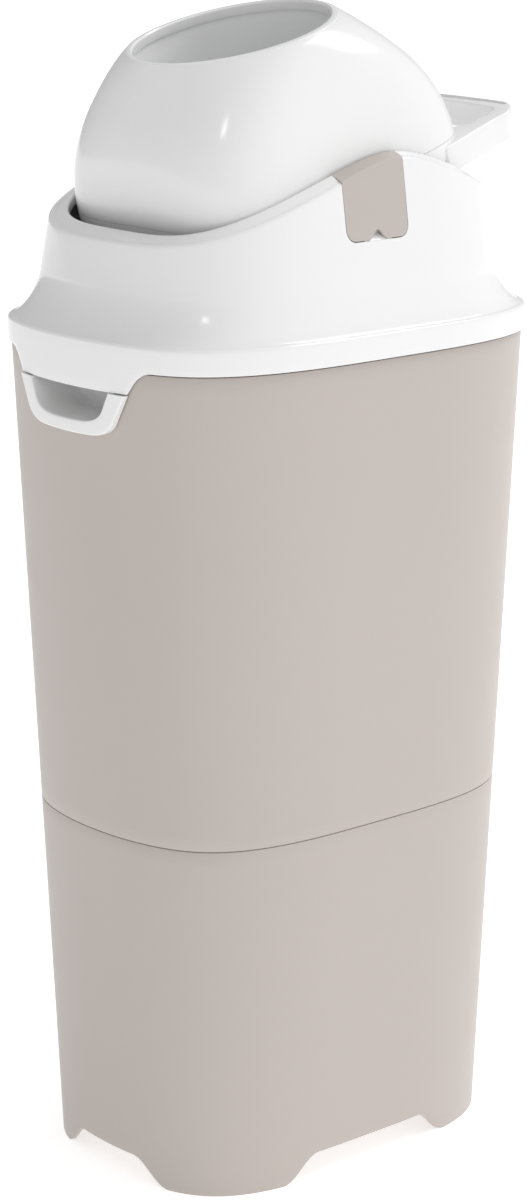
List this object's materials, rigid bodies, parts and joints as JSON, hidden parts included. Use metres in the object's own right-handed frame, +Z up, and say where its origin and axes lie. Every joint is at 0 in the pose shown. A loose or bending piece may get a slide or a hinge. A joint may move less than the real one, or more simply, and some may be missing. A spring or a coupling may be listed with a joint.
{
  "type": "nappy bin",
  "caption": "Tall tapered nappy bin with a rear-hinged lid, side clips and a flip-over drum whose weighted piston pushes each nappy into the bag.",
  "frame": {"origin": "centre of the body's plan, on the floor under the feet", "axes": "+Z up; -Y is the front with the finger recess; the drum's axle lies along X; the handle rests towards +Y"},
  "size_m": [0.239, 0.317, 0.7338],
  "materials": {
    "taupe_plastic": "fine-grained moulded plastic",
    "white_plastic": "glossy moulded plastic",
    "grey_plastic": "satin moulded plastic",
    "bearing_plastic": "smooth hard plastic",
    "seal_rubber": "soft seal rubber",
    "steel": "zinc-plated"
  },
  "bodies": {
    "bin": {"base_section": "taupe_plastic", "upper_body": "taupe_plastic", "grip_frame": "white_plastic", "hinge_pin": "steel"},
    "bag_ring_body": {"bag_ring": "grey_plastic"},
    "lid": {"lid_cover": "white_plastic", "lid_well": "grey_plastic", "lid_gasket": "seal_rubber", "drum_wiper": "seal_rubber", "well_screws": "steel", "bearing_cup_left": "bearing_plastic", "bearing_cup_right": "bearing_plastic"},
    "clip_left_body": {"clip_left": "taupe_plastic"},
    "clip_right_body": {"clip_right": "taupe_plastic"},
    "drum": {"drum_upper_shell": "white_plastic", "drum_lower_shell": "white_plastic", "drum_tube": "grey_plastic", "axle_left": "bearing_plastic", "axle_right": "bearing_plastic", "drum_screws": "steel", "handle": "white_plastic", "handle_screws": "steel"},
    "piston": {"piston_shell": "grey_plastic", "piston_cap": "white_plastic", "piston_weight": "steel", "piston_ring_upper": "seal_rubber", "piston_ring_lower": "seal_rubber"}
  },
  "joints": [
    {"name": "lid_tilt", "type": "hinge", "parent": "bin", "child": "lid", "pos_m": [0, 0.14935, 0.522], "axis": [-1, 0, 0], "range_deg": [0, 95]},
    {"name": "bag_ring_lift", "type": "slide", "parent": "bin", "child": "bag_ring_body", "axis": [0, 0, 1], "range_m": [0, 0.004]},
    {"name": "clip_left_lift", "type": "slide", "parent": "lid", "child": "clip_left_body", "axis": [0, 0, 1], "range_m": [0, 0.02]},
    {"name": "clip_right_lift", "type": "slide", "parent": "lid", "child": "clip_right_body", "axis": [0, 0, 1], "range_m": [0, 0.02]},
    {"name": "drum_flip", "type": "hinge", "parent": "lid", "child": "drum", "pos_m": [0, -0.0075, 0.63], "axis": [1, 0, 0], "range_deg": [0, 151]},
    {"name": "piston_slide", "type": "slide", "parent": "drum", "child": "piston", "axis": [0, -0.2504, 0.9681], "range_m": [0, 0.0985]}
  ]
}
